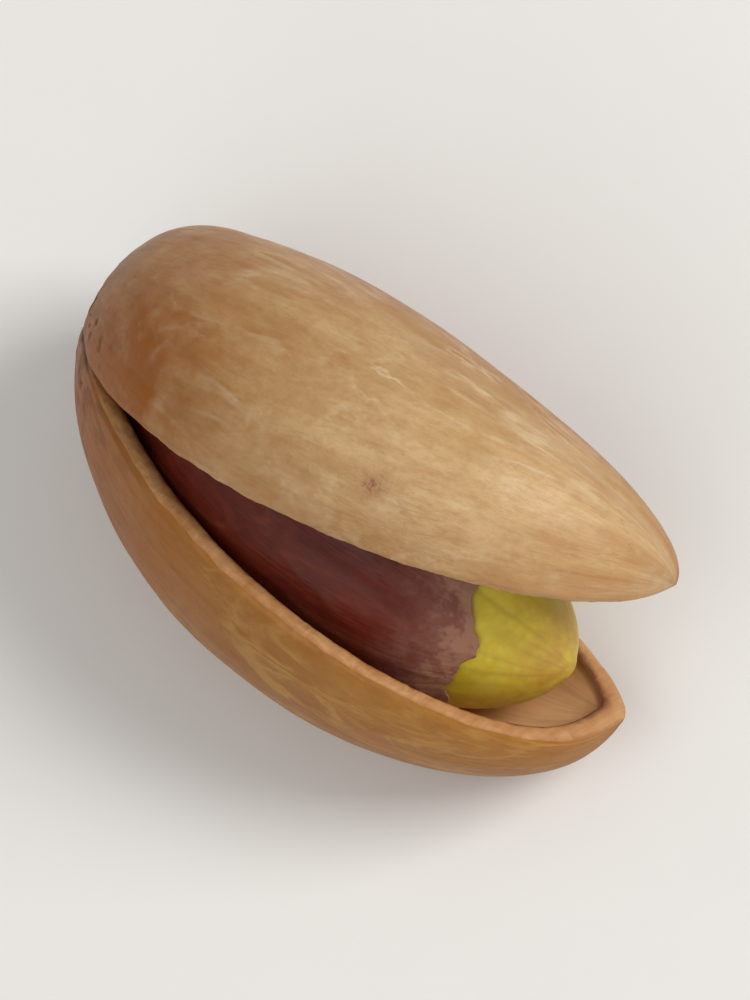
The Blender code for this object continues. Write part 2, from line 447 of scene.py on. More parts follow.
def seam_wander(points):
    """How far the seam strays from a flat plane: a slow field along x and a smaller, quicker one."""
    line = along_only(points)
    return 0.05 * MM * field(line, 3.2 * MM, 11) + 0.02 * MM * field(line, 0.9 * MM, 12)


def on_rod(x, phi, side):
    """x, and the angle on a round rod as thick as the nut: there lengthwise fibres are parallel."""
    y = -DEPTH / 2.0 * np.cos(phi) + 0.0 * x
    z = side * DEPTH / 2.0 * np.sin(phi) + 0.0 * x
    return np.stack([x, y, z], axis=-1)


# %% What roughens the outside
def husk_left(side, plain, reach, from_pole):
    """Brown husk, 0 to 1: a ragged scar at the stem, and patches round it, most on the lower valve."""
    patchy = 0.15 + ramp(field(plain, 0.8 * MM, 20, stretch=3.5), -0.10, 0.45)
    halo = (0.25 + 0.65 * (side < 0)) * bump(from_pole, HUSK_LENGTH) * bump(reach, HUSK_WIDTH) * patchy
    scar = bump(from_pole, SCAR_RADIUS) * (1.0 + 0.5 * field(plain, 0.7 * MM, 21))
    return np.clip(1.2 * scar + halo, 0.0, 1.0)


def shut_seam(side, plain, reach, parted, from_pole):
    """A bell-shaped groove along a line that strays from the shut seam, and a few pits beside it."""
    stray = GROOVE_STRAY * field(along_only(plain), 1.1 * MM, 26)
    groove = bump(side * reach - stray, GROOVE_WIDTH) * (1.0 - parted)
    groove = groove * ramp(from_pole, 0.5 * MM, 1.2 * MM)
    pits = ramp(field(plain, PIT_SPACING, 28), 0.36, 0.56) * bump(reach - PITS_FROM_SEAM, 0.6 * MM)
    pits = pits * bump(from_pole, PITS_FROM_STEM)
    return np.maximum(groove, pits * ramp(from_pole, 0.8 * MM, 1.4 * MM))


def dish_at_stem(plain, radius, phi, t):
    """How far the scar is sunk: a bell curve across it, less a raised ring just outside."""
    across = radius * np.hypot(np.cos(phi) * BREADTH, np.sin(phi) * DEPTH) / 2.0 / SCAR_RADIUS
    dish = (bump(across, 1.0) - 0.45 * bump(across - 1.25, 0.35)) * bump(t, 0.12)
    return SCAR_DEPTH * dish * (1.0 + 0.35 * field(plain, 0.5 * MM, 27))


# %% One valve, outside or inside
def outside_valve(side):
    """The outer skin: the plain valve, its radius raised and lowered by the sum of all the relief."""
    t, phi = ends_dense(ROWS)[:, None], math.pi * crowd(OUTSIDE_SPOKES, 0.72)[None, :]
    radius = pod_radius(t, phi) * (1.0 + swell(t, side * phi))
    plain = plain_valve(t, phi, side, 0.0, 0.0, 0.0, radius)
    rod = on_rod(plain[..., 0], phi, side)
    reach = seam_reach(phi, radius)
    parted = ramp(gape(plain[..., 0], plain[..., 1]), 0.0, 0.25 * MM)
    from_pole = np.hypot(radius * BREADTH / 2.0, plain[..., 0])
    stem = husk_left(side, plain, reach, from_pole)
    groove = shut_seam(side, plain, reach, parted, from_pole)

    ribs = RIB * field(rod, RIB_SPACING, 22, stretch=9.0)
    ribs = ribs + DENT * field(plain, DENT_SPACING, 23, stretch=1.6)
    veins = bump(field(rod, VEIN_SPACING, 29, stretch=8.0), 0.06)
    veins = veins * (0.25 + 0.75 * bump(plain[..., 0], VEINS_FROM_STEM))
    broken = CRUST * field(plain, 0.42 * MM, 24, stretch=2.0) + GRIT * field(plain, 0.2 * MM, 25)
    relief = (ribs + stem * broken - VEIN_DEPTH * veins) * np.sin(math.pi * t) ** 0.3
    worn = EDGE_ROUND * (1.0 + 0.9 * field(along_only(plain), 0.9 * MM, 30))
    relief = relief - GROOVE_DEPTH * groove - worn * bump(reach, EDGE_WIDTH) * parted
    relief = relief * ramp(radius * DEPTH / 2.0, 0.0, TIP_CALM)
    radius = radius + relief / (DEPTH / 2.0)

    points = plain_valve(t, phi, side, 0.0, 0.0, 0.0, radius)
    points[..., 0] += dish_at_stem(plain, radius, phi, t)
    points[..., 2] += seam_wander(points) * bump(reach, SEAM_SPREAD)
    away = np.hypot((t - STAIN_AT[0]) * LENGTH, (phi - STAIN_AT[1]) * radius * DEPTH / 2.0)
    # Painted shade mask: the lower valve, less near the shut seam and the stem, is darkened by the
    # outside's material.
    shade = (1.0 - (1.0 - parted) * bump(reach, 1.5 * MM)) * (1.0 - 0.7 * bump(from_pole, 4.5 * MM))
    marks = {"stem_end": stem, "seam_line": groove, "vein": veins, "across_rim": 0.0 * stem}
    marks.update(split_edge=bump(reach, 1.3 * MM) * parted, lower=(side < 0) * shade)
    marks.update(stain=(side > 0) * bump(away, STAIN_SIZE), rod=on_rod(points[..., 0], phi, side))
    return points, marks


def inside_valve(side):
    """The inner skin of one valve: the same half ellipses, in from the outside by the wall."""
    t, phi = ends_dense(ROWS)[:, None], math.pi * crowd(INSIDE_SPOKES, 0.5)[None, :]
    radius = pod_radius(t, phi)
    wall = WALL + (RIM_WALL - WALL) * bump(np.sin(phi), 0.35)
    plain = plain_valve(t, phi, side, wall, STEM_WALL, TIP_WALL, radius)
    rough = 0.02 * MM * field(plain, 0.8 * MM, 31, stretch=3.0) * np.sin(math.pi * t)
    points = plain_valve(t, phi, side, wall, STEM_WALL, TIP_WALL, radius + rough / (DEPTH / 2.0))
    reach = seam_reach(phi, radius)
    points[..., 2] += seam_wander(points) * bump(reach, SEAM_SPREAD)
    blank = np.zeros(points.shape[:2])
    marks = {"stem_end": blank, "seam_line": blank, "vein": blank, "across_rim": blank + 1.0}
    marks.update(split_edge=bump(reach, 0.9 * MM), lower=blank + (side < 0))
    marks.update(stain=blank, rod=on_rod(points[..., 0], phi, side))
    return points, marks


# %% [markdown]
# ## Joining the four skins into one shell
#
# Behind the split the two valves share the points of their seam, so the shell is one piece. From
# the end of the split to the tip each valve has a rim instead: a narrow strip from the outer skin
# over the broken edge to the inner skin. The strip is bowed a little, because a split edge wears
# round, and the two rims share one line at the bottom of the crack.

# %% The shell as one closed skin
RIM_BULGE, RIM_CHIPS = 0.10 * MM, 0.030 * MM
SHUT = 0.004 * MM
ON_OUTSIDE, ON_RIM, ON_INSIDE = 0, 1, 2


def rim_strip(outer, inner, side):
    """Straight from edge to edge, bowed into the gap by RIM_BULGE times 1 less |2u - 1| to the 2.4."""
    u = np.linspace(0.0, 1.0, RIM_STEPS + 1)[None, 1:-1]
    points = outer[:, None] * (1.0 - u[..., None]) + inner[:, None] * u[..., None]
    parted = ramp(gape(outer[:, 0], outer[:, 1]), 0.05 * MM, 0.6 * MM)[:, None]
    bow = RIM_BULGE * (1.0 - np.abs(2.0 * u - 1.0) ** 2.4) + RIM_CHIPS * field(points, 0.35 * MM, 41)
    points[..., 2] -= side * bow * parted
    share = u + 0.0 * parted
    blank = 0.0 * share
    marks = {"stem_end": blank, "seam_line": blank, "vein": blank, "across_rim": share}
    marks.update(split_edge=blank + 1.0, lower=blank + (side < 0), stain=blank)
    edge_y = np.sign(outer[:, 1:2]) * DEPTH / 2.0 + blank
    return points, marks | {"rod": np.stack([points[..., 0], edge_y, side * share * RIM_WALL], axis=-1)}


def build_shell():
    """Points, faces, marks and a material number a face, for all four skins and both pairs of rims."""
    makers = (("out", outside_valve), ("in", inside_valve))
    skins = {(side, place): make(side) for side in (1, -1) for place, make in makers}
    grids, ids, which, faces, count = [], {}, [], [], 0

    def number(points, marks):
        """Vertex numbers for one more grid, which is kept with its marks."""
        nonlocal count
        rows, columns = points.shape[:2]
        grids.append((points, marks))
        count += rows * columns
        return np.arange(count - rows * columns, count).reshape(rows, columns)

    def cover(grid, flip, finish):
        """The faces of one grid, with one material number."""
        faces.append(weave(grid, flip))
        which.append(np.full(len(faces[-1]), finish))

    # Each end row of a grid is one point: the valves share theirs at the stem, not at the tip.
    for key, (points, marks) in skins.items():
        ids[key] = number(points, marks)
        ids[key][0, :], ids[key][-1, :] = ids[1, key[1]][0, 0], ids[key][-1, 0]
    # Column 0 is the seam on the wide side of the split, and column -1 the seam on the other side.
    for column in (0, -1):
        edges = {key: skin[0][:, column] for key, skin in skins.items()}
        shut = max(int(np.argmax(gape(edge[:, 0], edge[:, 1]) > SHUT)) for edge in edges.values())
        for side, place in edges:
            edges[side, place][:shut, 2] = seam_wander(edges[side, place][:shut])
            ids[side, place][:shut, column] = ids[1, place][:shut, column]
        for side in (1, -1):
            outer, inner = edges[side, "out"][shut - 1:], edges[side, "in"][shut - 1:]
            strip = number(*rim_strip(outer, inner, side))
            crack_end = strip[0].copy() if side > 0 else crack_end
            strip[0] = crack_end
            ids[side, "tip"] = ids.get((side, "tip"), strip[-1].copy())
            strip[-1] = ids[side, "tip"]
            sides = [ids[side, place][shut - 1:, column][:, None] for place in ("out", "in")]
            joined = np.concatenate([sides[0], strip, sides[1]], axis=1)
            cover(joined, (side > 0) == (column == 0), ON_RIM)
    for side, place in skins:
        finish = ON_OUTSIDE if place == "out" else ON_INSIDE
        cover(ids[side, place], (side > 0) == (place == "in"), finish)
    points = np.concatenate([grid.reshape(-1, 3) for grid, _ in grids])
    labels = grids[0][1]
    marks = {k: np.concatenate([m[k].reshape(-1, *m[k].shape[2:]) for _, m in grids]) for k in labels}
    return points, np.concatenate(faces), marks, np.concatenate(which)


shell_points, shell_faces, shell_marks, shell_which = build_shell()
print("shell points:", len(shell_points), "marks:", sorted(shell_marks))

# %% [markdown]
# ## Setting the nut down
#
# The finished shell is rolled and tipped, its lowest patch is pressed flat by a fraction of a
# millimetre, and the whole is moved to where the frame has it. Skin and seed get the same turn and
# the same move, so they stay where they grew.

# %% The move from the nut's own frame to the floor
laid = lay_down(shell_points)
floor_height = laid[:, 2].min() + FLAT_DEPTH
laid[:, 2] = np.maximum(laid[:, 2], floor_height)
frame_low, frame_high = (np.array(corner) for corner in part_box("shell"))
shift = (frame_low + frame_high) / 2.0 - (laid.min(axis=0) + laid.max(axis=0)) / 2.0
shift[2] = frame_low[2] - floor_height
print("moved by, mm:", (shift / MM).round(3))


def set_down(points):
    """From the nut's own frame to its place on the floor."""
    return lay_down(points) + shift


# %% [markdown]
# ## The seed and its skin, as points
#
# The seed is a smaller pod inside the hollow. It hangs a little toward the lower valve, and is
# wrinkled lengthwise with one deeper fold on the side that lay against the stalk. The skin is the
# same surface, a hair larger, that stops at a ragged tear near the tip and leaves the end of the
# seed bare. A dry skin is thin and stiff, so its torn edge stands up from the seed here and there.

# %% The surface of the seed
SEED_START, SEED_END = 1.75 * MM, 19.4 * MM
SEED_BLUNT, SEED_POINT = 0.44, 0.52
SKIN_ROOM, SKIN, SEED_ROOM = 0.22 * MM, 0.24 * MM, 0.10 * MM
SEED_SAG, SEED_SWELL, FURROW, FOLD = 0.34, 0.12, 0.018, 0.02


def seed_surface(t, phi, room, relief=0.0):
    """Wrinkled ellipses along an outline, less room all round, let down by a share of the gape."""
    base = WALL + SKIN_ROOM + room
    wrinkle = 0.6 * np.sin(9.0 * phi + 2.0 * np.sin(3.0 * t)) + 0.4 * np.sin(14.0 * phi + 1.0)
    fold = bump(np.cos(phi) - 1.0, 0.05)
    fall = (FURROW * (wrinkle - 1.0) - FOLD * fold) * np.sin(math.pi * t)
    radius = outline(t, SEED_BLUNT, SEED_POINT) * (1.0 + fall) + relief / (DEPTH / 2.0)
    x = SEED_START + room + (SEED_END - SEED_START - 2.0 * room) * t + 0.0 * phi
    y = -(BREADTH / 2.0 - base) * radius * np.cos(phi) + bowed(x)
    up = (DEPTH / 2.0 - base) * radius * np.sin(phi)
    share = up / (DEPTH / 2.0 - base)
    return np.stack([x, y, up - (SEED_SAG - SEED_SWELL * share) * gape(x, y)], axis=-1)


# %% The skin: an outer and an inner sheet, joined along the tear
SKIN_ROWS, SKIN_INNER_ROWS, SKIN_SPOKES = 250, 60, 260
TEAR, DRIED, CROWDING = 0.835, 0.15, 0.80 * math.pi
EDGE_TUCK, EDGE_LIFT, INNER_TUCK = 0.20 * MM, 0.16 * MM, 0.06 * MM
SKIN_WRINKLE, SKIN_VEIN, SKIN_CREPE = 0.060 * MM, 0.034 * MM, 0.014 * MM


def skin_sheet(rows, inner):
    """t runs from the stem end to the tear, which wanders round the seed in waves of many sizes."""
    phi = np.linspace(0.0, 2.0 * math.pi, SKIN_SPOKES + 1)[None, :-1]
    ring = np.stack([0.0 * phi, np.cos(phi), np.sin(phi)], axis=-1) * 3.0 * MM
    ragged = 0.030 * np.sin(phi + 0.9) + 0.018 * np.sin(3.0 * phi + 2.2) + 0.012 * np.sin(7.0 * phi)
    ragged = ragged + 0.010 * field(ring, 1.1 * MM, 51) + 0.005 * field(ring, 0.35 * MM, 52)
    share = 1.0 - np.cos(np.linspace(0.0, CROWDING, rows))
    share = share / (1.0 - math.cos(CROWDING))
    t = share[:, None] * (TEAR + ragged)
    near = bump(1.0 - share[:, None], 0.04)
    dried = bump(1.0 - share[:, None], DRIED)
    plain = seed_surface(t, phi, 0.0)
    rod = on_rod(plain[..., 0], phi, 1.0)
    wrinkles = field(rod, 1.5 * MM, 53, stretch=7.0)
    veins = bump(field(rod, 1.3 * MM, 54, stretch=4.0), 0.09)
    crepe = field(rod, 0.32 * MM, 55, stretch=1.6)
    relief = SKIN_WRINKLE * wrinkles + SKIN_VEIN * veins + SKIN_CREPE * crepe
    relief = relief * np.sin(math.pi * np.clip(t, 0.0, 1.0)) ** 0.5
    lift = EDGE_LIFT * bump(1.0 - share[:, None], 0.02)
    lift = lift * np.clip(field(ring, 2.2 * MM, 56) + 0.25, 0.0, 1.0)
    room = (SKIN + INNER_TUCK * near) if inner else EDGE_TUCK * near
    points = seed_surface(t, phi, room - lift, relief * (0.0 if inner else 1.0))
    marks = {"torn": dried + 0.0 * phi, "raised": 0.5 + 0.5 * wrinkles + 0.3 * veins, "rod": rod}
    return points, marks


def build_skin():
    """The outer sheet, the inner sheet turned to face the seed, and the narrow strip along the tear."""
    outer, outer_marks = skin_sheet(SKIN_ROWS, False)
    inner, inner_marks = skin_sheet(SKIN_INNER_ROWS, True)
    ids = np.arange((SKIN_ROWS + SKIN_INNER_ROWS) * SKIN_SPOKES).reshape(-1, SKIN_SPOKES)
    ids[0], ids[SKIN_ROWS] = ids[0, 0], ids[SKIN_ROWS, 0]
    ids = np.concatenate([ids, ids[:, :1]], axis=1)
    out_ids, in_ids = ids[:SKIN_ROWS], ids[SKIN_ROWS:]
    strip = np.stack([out_ids[-1], in_ids[-1]])
    faces = np.concatenate([weave(out_ids), weave(in_ids, flip=True), weave(strip)])
    points = np.concatenate([outer.reshape(-1, 3), inner.reshape(-1, 3)])
    marks = {}
    for label, values in outer_marks.items():
        pair = (values, inner_marks[label])
        marks[label] = np.concatenate([v.reshape(-1, *v.shape[2:]) for v in pair])
    return points, faces, marks


skin_points, skin_faces, skin_marks = build_skin()
print("skin points:", len(skin_points))

# %% [markdown]
# ## The seed
#
# The bare end of the seed is the brightest thing in the nut. Under its skin a pistachio has shallow
# grooves that run to the tip, where the root would have come out as a small nub.

# %% The seed as one closed skin
SEED_ROWS, SEED_SPOKES = 260, 200
NUB, SEED_GROOVE = 0.10 * MM, 0.040 * MM
SEED_PIT, SEED_DENT, PIT_TOP = 0.012 * MM, 0.030 * MM, 0.02 * MM


def build_seed():
    """The seed's surface under the skin, with bell-shaped grooves, fine pits and a nub at the tip."""
    t = ends_dense(SEED_ROWS)[:, None]
    phi = np.linspace(0.0, 2.0 * math.pi, SEED_SPOKES + 1)[None, :-1]
    rod = on_rod(seed_surface(t, phi, SKIN + SEED_ROOM)[..., 0], phi, 1.0)
    grooves = bump(field(rod, 1.9 * MM, 61, stretch=5.0), 0.20)
    pits = SEED_PIT * field(rod, 0.40 * MM, 62, stretch=1.5)
    pits = pits + SEED_DENT * field(rod, 1.2 * MM, 63, stretch=2.0)
    relief = (np.minimum(pits, PIT_TOP) - SEED_GROOVE * grooves) * np.sin(math.pi * t) ** 0.5
    points = seed_surface(t, phi, SKIN + SEED_ROOM, relief)
    points[..., 0] += NUB * bump(1.0 - t, 0.004)
    ids = np.arange(SEED_ROWS * SEED_SPOKES).reshape(SEED_ROWS, SEED_SPOKES)
    ids[0], ids[-1] = ids[0, 0], ids[-1, 0]
    ids = np.concatenate([ids, ids[:, :1]], axis=1)
    marks = {"groove": grooves.ravel(), "rod": rod.reshape(-1, 3)}
    return points.reshape(-1, 3), weave(ids), marks


seed_points, seed_faces, seed_marks = build_seed()
print("seed points:", len(seed_points))

# %% [markdown]
# ## Shell wood
#
# A pistachio's shell is thin hard wood, bleached by the sun: cream and tan in soft clouds, with
# paler marks that wander like the veins in marble, and a few dark hairlines. Both come from one
# trick: where a noise passes through a half it is a thin winding line. The wood goes orange-brown
# toward the stem, along the back and at the split edge, and dark where husk is left. The lower
# valve is tinted darker as painted shade, and darker still toward its underside, also painted
# shade. The shell is worn smooth, so it has a low even sheen, and light sinks a little way in,
# which is why its shadows look warm.

# %% Clouds, marbling and hairlines
CREAM, TAN, BISCUIT = chart(220, 188, 140), chart(190, 148, 96), chart(174, 130, 80)
HONEY, TRACERY, HAIRLINE = chart(156, 90, 20), chart(232, 210, 172), chart(140, 92, 50)
LOWER_SHADE_TINT, UNDER_SHADE_TINT = chart(218, 188, 120), chart(218, 194, 158)
HUSK, SEAM_DARK, STAIN = chart(100, 62, 36), chart(66, 38, 24), chart(134, 70, 46)


def winding_line(tree, value, width):
    """1 where the value is a half, fading smoothly to 0 at width from it."""
    away = sums(tree, "ABSOLUTE", sums(tree, "SUBTRACT", value, 0.5))
    return between(tree, away, 0.0, width, 1.0, 0.0)


def wood_colour(tree, where, rod):
    """Clouds drawn out along the shell, with pale marbling, a fine grain and a few hairlines."""
    drawn = drawn_out(tree, rod, along=0.5)
    clouds = blend(tree, mottled(tree, drawn, 190.0, 0.35), TAN, CREAM)
    clouds = blend(tree, times(tree, mottled(tree, drawn, 640.0, 0.3), 0.30), clouds, BISCUIT)
    marble = winding_line(tree, noise(tree, drawn, 360.0, 5.0, 0.55, 1.3), 0.06)
    pale = times(tree, marble, between(tree, mottled(tree, where, 150.0, 0.5), 0.25, 0.85, 0.0, 0.66))
    grain = noise(tree, drawn, 5200.0, 4.0, roughness=0.7)
    clouds = blend(tree, between(tree, grain, 0.42, 0.62, 0.0, 0.28), clouds, BISCUIT)
    crack = winding_line(tree, noise(tree, drawn, 620.0, 3.0, distortion=0.8), 0.014)
    dark = times(tree, crack, between(tree, mottled(tree, where, 240.0, 0.5), 0.55, 1.0, 0.0, 0.30))
    return blend(tree, dark, blend(tree, pale, clouds, TRACERY), HAIRLINE)


# %% Where the wood is warmer, and what has marked it
def warmth(tree, place):
    """The greatest of three: toward the stem and the mouth, toward the back, and at the split edge."""
    toward_stem = between(tree, place.outputs["X"], 1.5 * MM, 13.0 * MM, 1.0, 0.0)
    toward_mouth = between(tree, place.outputs["Y"], -5.3 * MM, -1.5 * MM, 1.0, 0.0)
    toward_back = between(tree, place.outputs["Y"], -1.5 * MM, 4.0 * MM, 0.0, 0.85)
    warm = times(tree, toward_stem, fitted(tree, toward_mouth, 0.45, 0.60))
    warm = sums(tree, "MAXIMUM", warm, toward_back)
    return sums(tree, "MAXIMUM", warm, times(tree, mark(tree, "split_edge"), 0.30))


def speckles(tree, where, scale, share, size):
    """1 in the middle of a few random cells, fading out at size; share is how many have one."""
    cells = add(tree, "TexVoronoi", {"Vector": where, "Scale": scale})
    random = add(tree, "SeparateColor", {"Color": cells.outputs["Color"]}).outputs[0]
    chosen = sums(tree, "LESS_THAN", random, share)
    return times(tree, between(tree, cells.outputs["Distance"], 0.0, size, 1.0, 0.0), chosen)


def with_marks(tree, where, colour, husk):
    """The colour, darkened in turn by veins, husk, the shut seam, one stain and a few specks."""
    blotch = between(tree, mottled(tree, where, 2400.0, 0.8), 0.2, 0.9, 0.35, 1.0)
    blotch = times(tree, mark(tree, "stain"), blotch)
    colour = blend(tree, times(tree, mark(tree, "vein"), 0.35), colour, HAIRLINE)
    colour = blend(tree, times(tree, husk, 0.85), colour, HUSK)
    colour = blend(tree, times(tree, mark(tree, "seam_line"), 0.95), colour, SEAM_DARK)
    colour = blend(tree, times(tree, blotch, 0.85), colour, STAIN)
    return blend(tree, times(tree, speckles(tree, where, 700.0, 0.06, 0.10), 0.55), colour, HUSK)


# %% The outside of the shell
def shell_outside():
    """Wood clouds with painted shade below, warmer toward the stem and back, marked, over fibres and
    pores.
    """
    material, tree, shader = new_material("shell_outside", subsurface=0.12, Specular_IOR_Level=0.34)
    where, rod = places(tree)
    streak = streaked(tree, drawn_out(tree, rod, along=0.20), 2400.0)
    place = add(tree, "SeparateXYZ", {"Vector": rod})
    uneven = fitted(tree, mottled(tree, where, 260.0, 0.3), 0.7, 0.65)
    # Painted shade: the lower valve darkens toward its bottom, away from the rim.
    belly_shade = between(tree, place.outputs["Z"], -5.0 * MM, -0.5 * MM, 0.75, 0.0)
    # Painted shade: the lower valve's wood colour is multiplied by a darker tint.
    colour = blend(tree, mark(tree, "lower"), wood_colour(tree, where, rod), LOWER_SHADE_TINT, "MULTIPLY")
    under = times(tree, belly_shade, uneven, clamp=True)
    colour = blend(tree, under, colour, UNDER_SHADE_TINT, "MULTIPLY")
    colour = blend(tree, times(tree, warmth(tree, place), uneven, clamp=True), colour, HONEY)
    broken = between(tree, mottled(tree, where, 330.0, 0.4), 0.2, 0.8, 0.06, 0.26)
    colour = blend(tree, times(tree, streak, broken), colour, HONEY)
    rough_edge = fitted(tree, mottled(tree, where, 900.0, 0.6), 0.6, -0.3)
    stem_end = mark(tree, "stem_end")
    husk = sums(tree, "ADD", stem_end, times(tree, rough_edge, stem_end), clamp=True)
    gloss = fitted(tree, mottled(tree, where, 420.0, 0.3), 0.12, 0.36)
    pores = noise(tree, where, 4200.0, 4.0, roughness=0.6)
    height = fitted(tree, streak, 0.45, times(tree, pores, 0.75))
    roughness = fitted(tree, husk, 0.25, gloss, clamp=True)
    dress(tree, shader, with_marks(tree, where, colour, husk), roughness, height, 0.6, 0.05 * MM)
    return material


# %% [markdown]
# ## Split rim and inner wall
#
# Where the shell has parted, the rim shows raw wood: more orange than the outside, with fibres
# across it and a thin red-brown lip on the inner side, where the skin of the seed stained it.
# The inner wall is smooth and warm brown; toward the tip it is painted paler, as painted light.

# %% The rim and the inside of the shell
RIM_WOOD, RIM_PALE, RIM_LIP = chart(188, 134, 82), chart(208, 162, 112), chart(112, 56, 36)
INNER_PAINTED_LIGHT, INNER_DEEP = chart(244, 202, 150), chart(198, 140, 88)


def split_rim():
    """Raw wood with flecks, going to the dark lip over the last part of the way across."""
    material, tree, shader = new_material("split_rim", subsurface=0.15, Specular_IOR_Level=0.4)
    where, rod = places(tree)
    flecks = mottled(tree, where, 1500.0, 0.5)
    fibres = streaked(tree, drawn_out(tree, rod, across=0.2), 5200.0)
    colour = blend(tree, mottled(tree, where, 300.0, 0.3), RIM_WOOD, RIM_PALE)
    colour = blend(tree, times(tree, fibres, 0.30), colour, HONEY)
    ragged = fitted(tree, mottled(tree, where, 420.0, 0.2), 0.30, -0.15)
    across = sums(tree, "ADD", mark(tree, "across_rim"), ragged)
    colour = blend(tree, between(tree, across, 0.62, 1.05, 0.0, 0.85), colour, RIM_LIP)
    colour = blend(tree, between(tree, across, 0.20, -0.05, 0.0, 0.45), colour, HONEY)
    height = fitted(tree, fibres, 0.6, times(tree, flecks, 0.6))
    dress(tree, shader, colour, fitted(tree, flecks, 0.15, 0.48), height, 0.5, 0.04 * MM)
    return material


def shell_inside():
    """Warm brown, paler toward the tip as painted light, dark at the lip, with faint lengthwise
    streaks.
    """
    material, tree, shader = new_material("shell_inside", subsurface=0.12, Specular_IOR_Level=0.5)
    where, rod = places(tree)
    toward_tip = add(tree, "SeparateXYZ", {"Vector": rod}).outputs["X"]
    # Painted light: the wall blends to a pale colour toward the tip, where it lies in shade.
    toward_tip = between(tree, toward_tip, 0.75 * LENGTH, 0.93 * LENGTH)
    colour = blend(tree, toward_tip, INNER_DEEP, INNER_PAINTED_LIGHT)
    colour = blend(tree, times(tree, mottled(tree, where, 380.0, 0.4), 0.30), colour, INNER_DEEP)
    streak = streaked(tree, drawn_out(tree, rod, along=0.12), 2400.0)
    colour = blend(tree, times(tree, streak, 0.18), colour, HUSK)
    colour = blend(tree, between(tree, mark(tree, "split_edge"), 0.75, 1.0, 0.0, 0.7), colour, RIM_LIP)
    dress(tree, shader, colour, fitted(tree, mottled(tree, where, 700.0, 0.4), 0.14, 0.36))
    return material


# %% The shell as an object
set_shell = set_down(shell_points)
set_shell[:, 2] = np.maximum(set_shell[:, 2], frame_low[2])
shell_finishes = [shell_outside(), split_rim(), shell_inside()]
shell = make_piece("pistachio_shell", set_shell, shell_faces, shell_marks, shell_finishes, shell_which)
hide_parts("shell")
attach(shell, "root")

# %% [markdown]
# ## Seed skin
#
# The skin is a dark red-brown, almost purple where it is thick, with a dull leathery sheen. Its
# raised wrinkles are rubbed lighter. Near the tear it has dried to a pale mauve film that lets some
# of the seed's colour through, and its very edge is the colour of straw.

# %% The skin's material and object
MAROON, WINE, RUBBED = chart(114, 38, 21), chart(86, 27, 16), chart(138, 68, 43)
MAUVE, STRAW = chart(142, 94, 82), chart(176, 134, 104)


def skin_finish():
    """Maroon and wine clouds, rubbed along the wrinkles, drying to mauve and straw at the tear."""
    constants = {"subsurface": 0.05, "Specular_IOR_Level": 0.28}
    material, tree, shader = new_material("seed_skin_finish", **constants)
    where, rod = places(tree)
    along = drawn_out(tree, rod, along=0.14)
    streak = streaked(tree, along, 2200.0)
    colour = blend(tree, mottled(tree, where, 420.0, 0.2), MAROON, WINE)
    rubbed = times(tree, between(tree, mark(tree, "raised"), 0.45, 1.0), streak)
    colour = blend(tree, times(tree, rubbed, 0.6), colour, RUBBED)
    ragged = fitted(tree, mottled(tree, where, 900.0, 0.5), 0.5, -0.25)
    torn = mark(tree, "torn")
    torn = sums(tree, "ADD", torn, times(tree, ragged, torn), clamp=True)
    colour = blend(tree, between(tree, torn, 0.15, 0.95, 0.0, 0.9), colour, MAUVE)
    colour = blend(tree, between(tree, torn, 0.72, 1.05, 0.0, 0.6), colour, STRAW)
    fine = noise(tree, along, 5200.0, 3.0)
    dress(tree, shader, colour, fitted(tree, streak, 0.18, 0.36), fine, 0.6, 0.04 * MM)
    return material


skin = make_piece("seed_skin", set_down(skin_points), skin_faces, skin_marks, [skin_finish()])
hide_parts("seed_coat")
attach(skin, "root")

# %% [markdown]
# ## Seed flesh
#
# The flesh is oily and dense, yellow-green with paler yellow where it is rubbed, deeper green in
# the grooves, and toasted brown in patches toward the tip. Oil gives it a soft shine, and light
# goes far into it, so its edges glow.

# %% The seed's material and object
LIME, BUTTER = chart(210, 186, 34), chart(226, 208, 78)
MOSS, TOAST, TOAST_FROM = chart(150, 130, 30), chart(180, 128, 58), 16.6 * MM


def flesh_finish():
    """Butter and lime clouds, moss in the grooves, toast at the tip, lit from under the surface."""
    glow = {"subsurface": 0.35, "radius": (1.0, 0.9, 0.3), "scale": 0.8 * MM}
    material, tree, shader = new_material("seed_flesh_finish", Specular_IOR_Level=0.5, **glow)
    where, rod = places(tree)
    colour = blend(tree, mottled(tree, where, 700.0, 0.4), LIME, BUTTER)
    colour = blend(tree, times(tree, mark(tree, "groove"), 0.28), colour, MOSS)
    toward_tip = add(tree, "SeparateXYZ", {"Vector": rod}).outputs["X"]
    toward_tip = between(tree, toward_tip, TOAST_FROM, SEED_END)
    patchy = fitted(tree, mottled(tree, where, 520.0, 0.5), 0.7, 0.2)
    colour = blend(tree, times(tree, toward_tip, patchy), colour, TOAST)
    colour = blend(tree, times(tree, speckles(tree, where, 1500.0, 0.08, 0.16), 0.4), colour, MAROON)
    roughness = fitted(tree, mottled(tree, where, 1500.0, 0.5), 0.18, 0.34)
    dress(tree, shader, colour, roughness, noise(tree, where, 3600.0, 4.0), 0.3, 0.04 * MM)
    return material


seed = make_piece("seed_kernel", set_down(seed_points), seed_faces, seed_marks, [flesh_finish()])
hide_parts("kernel")
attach(seed, "root")

# %% [markdown]
# ## The floor
#
# A pale matt floor shows the nut's outline and throws a little light back up under it. It is one
# large square, faintly mottled so that it doesn't look like empty space.

# %% A floor of pale paper
FLOOR_HALF = 1.5
PAPER, PAPER_LIGHT = chart(241, 241, 240), chart(243, 243, 242)


